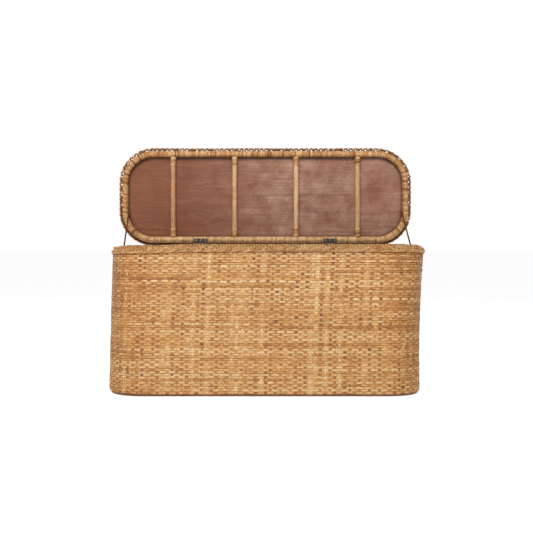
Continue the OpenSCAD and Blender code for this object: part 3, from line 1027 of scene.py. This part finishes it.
def cover_strip(middle, across, profile):
    """Rings of a flat strip on the cover, turned down round the lid's edge."""
    beyond_x = np.maximum(np.abs(middle[:, 0]) - (COVER_X - COVER_R), 0)
    beyond_y = np.maximum(np.abs(middle[:, 1]) - (COVER_Y - COVER_R), 0)
    inside = np.clip(COVER_R - np.hypot(beyond_x, beyond_y), 0, EDGE_BEND)
    middle[:, 2] -= EDGE_BEND - np.sqrt(EDGE_BEND ** 2 - (EDGE_BEND - inside) ** 2)
    return swept(middle, everywhere((0, 0, 1), middle), everywhere(across, middle), profile)


def add_cover_row(strands, row, stands):
    pitch = 2 * COVER_Y / COVER_ROWS
    y = (row + 0.5) * pitch - COVER_Y
    half = cover_half(y, COVER_X, COVER_Y)
    s = np.linspace(-half, half, int(2 * half / (3 * MM)) + 2)
    stake = np.interp(s / STAKE_PITCH, stands, np.arange(len(stands)))
    wave = over_under(stake, row, rng.uniform(0.36, 0.55))
    z = COVER_Z + rng.uniform(1.7, 2.1) * MM * wave
    middle = np.column_stack([s, y + wander(s, 1.2, 0.4 * MM, 6, 700 + row), z])
    profile = lens(pitch * rng.uniform(1.02, 1.12), 0.95 * MM, 0.6 * MM)
    tone = 0.5 * rng.uniform(0.2, 0.8) + 0.5 * strip_tones(s + half, 2 * half, 0.5)
    rings = cover_strip(middle, (0, 1, 0), profile)
    # Painted shade where the strip dives under a stake.
    strands.add(rings, s + row * 3.1, tone, np.clip(-wave, 0, 1) * 0.3)


def build_cover(weave, stake_material):
    rows = COVER_ROWS // COVER_BANDS
    count = int(COVER_X / STAKE_PITCH)
    stands = stake_counter(2 * count + 4, 0.06, 6) - count - 2
    for band in range(COVER_BANDS):
        strands = Strands()
        for row in range(band * rows, (band + 1) * rows):
            add_cover_row(strands, row, stands)
        strands.build(f"cover_weave_{band + 1}", weave, "lid", "lid_cover")
    stakes = Strands()
    for i, stand in enumerate(stands[2:-2]):
        x = stand * STAKE_PITCH
        half = cover_half(x, COVER_Y, COVER_X)
        s = np.linspace(-half, half, int(2 * half / (5 * MM)) + 2)
        z = np.full(len(s), COVER_Z)
        middle = np.column_stack([x + wander(s, 0.4, 0.4 * MM, 3, 800 + i), s, z])
        profile = circle(1.0, 8) * [1.0 * MM, rng.uniform(7.4, 7.9) * MM]
        tone = 0.15 + 0.4 * rng.uniform() + 0.45 * strip_tones(s + half, 2 * half, 0.05)
        stakes.add(cover_strip(middle, (1, 0, 0), profile), s + i * 1.7, tone)
    stakes.build("cover_stakes", stake_material, "lid", "lid_cover")
    edge = Strands()
    add_rope(edge, LID_PATH, 8.6 * MM, cover_low.z + 3.6 * MM, 3, 1.8 * MM, 1.6 * MM, 40 * MM, 51)
    edge.build("cover_edge_rope", weave, "lid", "lid_cover")


def lace_wobble(s):
    """The lace's outer edge is not quite even."""
    return np.clip(wander(s, loop_length(*LID_PATH), 0.7 * MM, 9, 62) - 0.5 * MM, -2.0 * MM, 0.3 * MM)


def build_lace(weave, stake_material):
    """Dark strips laced in a zigzag between the lid ring and a thin outer rope."""
    level = (lace_low.z + lace_high.z) / 2
    outer = lace_high.x - LID_PATH[0]
    step = 1.6 * MM
    edge = outer - 3.0 * MM + lace_wobble(rope_places(LID_PATH, step))
    rope = Strands()
    add_rope(rope, LID_PATH, edge, level, 2, 1.5 * MM, 1.2 * MM, 17 * MM, 61, step, lighter=-0.15)
    rope.build("lace_rope", weave, "lid", "lid_lace")
    ties = Strands()
    total = loop_length(*LID_PATH)
    count = round(total / LACE_PITCH)
    t = np.linspace(-1, 1, 9)

    def tie(centre, slant, width, height, tone, wrap=0.0):
        s = centre + slant * t
        u = 10.7 * MM + (outer - 11.4 * MM + lace_wobble(s)) * (t + 1) / 2
        arch = height * (1 - t ** 2) + wrap * np.clip((t - 0.2) / 0.5, 0, 1)
        strip = flat_strip(s, LID_PATH, u, level + arch, width)
        # Painted shade along the tie's edges.
        ties.add(strip, t * 0.01 + centre * 9, tone, strip_painted_shade(np.zeros(len(t)), 0.5))

    for i in range(2 * count):
        centre = (i + rng.normal(0, 0.06)) * total / count / 2
        turn = 1 if i % 2 else -1
        tone = rng.uniform(0.05, 0.15) if rng.uniform() < 0.3 else rng.uniform(0.3, 0.9)
        tie(centre, turn * LACE_PITCH / 4, 5.8 * MM, 1.2 * MM + turn * 0.9 * MM, tone, turn * 2.8 * MM)
        _, out = loop_at([centre + LACE_PITCH / 4], *LID_PATH)
        at_back = out[0][1] > 0.3
        at_front = out[0][1] < -0.9
        # Dark filler strips stand in for the shade seen through the lace's holes; at the hinges every hole is
        # filled, with wider strips.
        shade_filled = LACE_SHADE_FILL if at_front else LACE_SHADE_FILL_BACK if at_back else LACE_SHADE_FILL_ENDS
        width, lightest = (12 * MM, 0.5) if at_back else (7 * MM, 0.25)
        if rng.uniform() < shade_filled:
            tie(centre + LACE_PITCH / 4, 1 * MM, width, -1.6 * MM, rng.uniform(0.05, lightest))
    ties.build("lace_ties", stake_material, "lid", "lid_lace")


def build_braces(pole_material, wrap):
    boxes = {f"lid_brace_{i}": shut_box(f"lid_brace_{i}") for i in range(1, 5)}
    for i, (name, (low, high)) in enumerate(boxes.items()):
        x, _, z = centre_of(low, high)
        strands = Strands()
        path, side, above = straight((x, low.y + 4 * MM, z), (x, high.y - 4 * MM, z), 2.5 * MM)
        path = path + side * wander(path[:, 1], 0.4, 0.5 * MM, 3, 970 + i)[:, None]
        radius = (high.x - low.x) / 2
        add_pole(strands, path, side, above, radius, 980 + i, joint_pitch=0.9, tone=BRACE_TONES[i])
        strands.build(f"{name}_pole", pole_material, "lid", name)
    for node in ("brace_bindings_front", "brace_bindings_back"):
        bind_low, bind_high = shut_box(node)
        strands = Strands()
        for i, (low, high) in enumerate(boxes.values()):
            x, _, z = centre_of(low, high)
            path, side, above = straight((x, bind_low.y, z), (x, bind_high.y, z), 1.0 * MM)
            add_winding(strands, path, above, side, 10.9 * MM, 990 + i, steps=8, mottle=0.32, opening=0.6)
        strands.build(f"{node}_cane", wrap, "lid", node)


# ---------------- hinges, screws and stays

def add_head(strands, centre, axis, profile):
    """A screw turned from (radius, height) points in millimetres, with a cross recess in its head."""
    axis = np.array(axis, float) / np.linalg.norm(axis)
    side = np.cross(axis, [0.31, 0.87, 0.38])
    side /= np.linalg.norm(side)
    other = np.cross(axis, side)
    a = round_angles(32)
    r, h = (np.array(profile) * MM).T[..., None]
    h = np.repeat(h, len(a), axis=1)
    px, py = r * np.cos(a), r * np.sin(a)
    in_cross = (np.minimum(np.abs(px), np.abs(py)) < 0.5 * MM) & (r < 2.2 * MM) & (h > 0.5 * MM)
    h[in_cross] -= 0.6 * MM
    rings = np.array(centre) + px[..., None] * side + py[..., None] * other + h[..., None] * axis
    strands.add(rings, 0.0, 0.5)


def build_screws(screw_material):
    for side in SIDES:
        for body in ("base", "lid"):
            node = f"hinge_{body}_screws_{side}"
            low, high = box_of(node, body)
            middle_x, y, _ = centre_of(low, high)
            up = 1 if body == "base" else -1
            face = high.z - 1.3 * MM if body == "base" else low.z + 1.3 * MM
            strands = Strands()
            for i in (-1, 0, 1):
                x = middle_x + i * (high.x - low.x - 6.4 * MM) / 2
                add_head(strands, (x, y, face), (0, 0, up), SCREW_PROFILE)
            strands.build(f"{node}_heads", screw_material, body, node)


def separate_places(node):
    """The middles, on plan, of the separate solids in a CAD node."""
    mesh = frame["nodes"][node]
    groups = []
    for vertex in mesh.data.vertices:
        place = (mesh.matrix_world @ vertex.co).xy
        near = [group for group in groups if (group[0] - place).length < 20 * MM]
        if near:
            near[0].append(place)
        else:
            groups.append([place])
    lows = [Vector((min(p.x for p in group), min(p.y for p in group))) for group in groups]
    highs = [Vector((max(p.x for p in group), max(p.y for p in group))) for group in groups]
    return [(low + high) / 2 for low, high in zip(lows, highs)]


def build_board_screws(screw_material):
    strands = Strands()
    for place in separate_places("board_screws"):
        add_head(strands, (place.x, place.y, board_low.z + 1.85 * MM), (0, 0, -1), BOARD_SCREW_PROFILE)
    strands.build("board_screws_heads", screw_material, "base", "board_screws")


def build_stay(side, name, cord_material):
    """A twisted cord from the top rail to the lid ring."""
    foot, head = (Vector((side * end.x, end.y, end.z)) for end in (STAY_FOOT, STAY_HEAD))
    path, across, above = straight(foot, head, 1.5 * MM)
    s = np.arange(len(path)) * (head - foot).length / (len(path) - 1)
    a = round_angles(14)
    twist = np.cos(a[None] * 2 - 2 * math.pi * 2 * s[:, None] / (14 * MM))
    r = 2.7 * MM + 0.08 * MM * np.abs(twist)
    strands = Strands()
    # Painted shade in the grooves of the twist.
    strands.add(tube(path, across, above, r, a), s, 0.5, np.clip(1 - np.abs(twist) * 2.2, 0, 1) * 0.4)
    stay = strands.build(f"stay_cord_{name}", cord_material, None, f"stay_{name}")
    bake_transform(stay)


# ---------------- build

def add_floor():
    mesh = bpy.data.meshes.new("floor")
    mesh.from_pydata([(-30, -30, 0), (30, -30, 0), (30, 30, 0), (-30, 30, 0)], [], [(0, 1, 2, 3)])
    floor = new_object("floor", mesh)
    material, n = new_material("floor")
    n.put("Base Color", (0.4, 0.4, 0.4))
    n.put("Roughness", 1)
    n.put("Emission Color", WHITE)
    n.put("Emission Strength", 0.7)
    mesh.materials.append(material)


def paint(material, *names):
    for name in names:
        mesh = frame["nodes"][name].data
        mesh.materials.clear()
        mesh.materials.append(material)


add_camera()
cord = strand_material("stay_cord", CORD_STOPS, srgb(40, 22, 14), roughness=0.9, gloss=0.0)
for side, name in ((-1, "left"), (1, "right")):
    build_stay(side, name, cord)
add_world(1.0, 0.36)
add_floor()
add_area("key", (-0.6, -2.9, 3.1), (0, 0, 0.3), (2.4, 1.4), 150)
add_area("back_fill", (0, 3.2, 2.6), (0, 0, 0.4), (2.5, 1.5), 60)

weave = strand_material("woven_rattan", WEAVE_STOPS, srgb(126, 72, 30))
braid = strand_material("rattan_braid", WEAVE_STOPS, srgb(74, 42, 20))
stakes = strand_material("rattan_stakes", STAKE_STOPS, srgb(60, 34, 18))
wrap = strand_material("cane_binding", WRAP_STOPS, srgb(70, 38, 18), patches=0.9, gloss=0.3, speckles=0.75)
pole = strand_material("rattan_pole", POLE_STOPS, srgb(96, 62, 38), patches=0.3)
board = plywood_material("base_board_plywood", srgb(96, 58, 34), srgb(126, 84, 54), srgb(148, 104, 70),
                         srgb(148, 108, 78), 0.2)
ply = plywood_material("stained_plywood", srgb(108, 63, 40), srgb(124, 74, 48), srgb(138, 85, 57),
                       srgb(184, 149, 132), 0.52, ring_shadowed=True)
hinge_steel = metal_material("hinge_steel", srgb(62, 52, 50), srgb(104, 90, 84), 0.5)
bright_steel = metal_material("bright_steel", srgb(120, 108, 96), srgb(184, 170, 152), 0.4)
brass = metal_material("brass_tacks", srgb(128, 88, 50), srgb(176, 132, 82), 0.45)

build_wall(weave, stakes)
build_rim(weave, braid, stakes)
for node, seed in (("bottom_rail", 1), ("middle_rail", 2), ("top_rail", 3)):
    build_rail(node, pole, seed)
build_posts(pole, wrap)
build_board(board)
build_lid_ring(wrap)
build_cover(weave, stakes)
build_lace(weave, stakes)
build_braces(pole, wrap)
build_screws(bright_steel)
build_board_screws(bright_steel)
paint(ply, "lid_panel")
paint(pole, "lid_ring")
paint(brass, "stay_tacks_base", "stay_tacks_lid")
paint(bright_steel, "panel_nails")
for side in SIDES:
    paint(hinge_steel, *(f"hinge_{part}_{side}" for part in ("base_leaf", "lid_leaf", "pin")))
